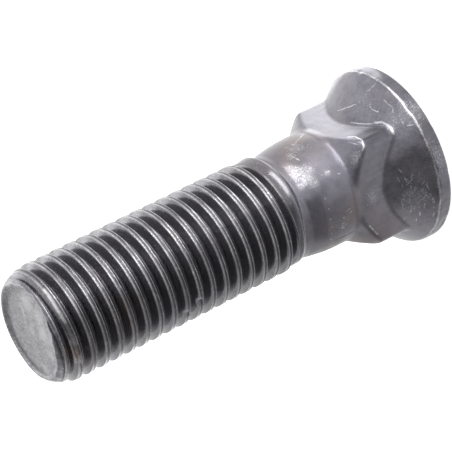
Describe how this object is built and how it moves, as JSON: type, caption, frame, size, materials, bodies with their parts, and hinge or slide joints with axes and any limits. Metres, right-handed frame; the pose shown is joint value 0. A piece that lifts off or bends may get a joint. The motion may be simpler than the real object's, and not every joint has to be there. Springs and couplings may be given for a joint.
{
  "type": "plow bolt",
  "caption": "Plow bolt with a flat countersunk head, a short square neck, a plain shank and a coarse right-hand rolled thread, forged in dark phosphated steel.",
  "frame": {"origin": "centre of the flat head face, which the bolt stands on", "axes": "+Z along the bolt's axis from the head to the tip, +X and +Y square to the neck's flats"},
  "size_m": [0.0314, 0.0314, 0.0724],
  "materials": {
    "phosphated_steel": "dark grey phosphate over forged and thread-rolled steel, satin, rubbed bright on edges and crests"
  },
  "bodies": {
    "root": {"plow_bolt": "phosphated_steel"}
  },
  "joints": []
}
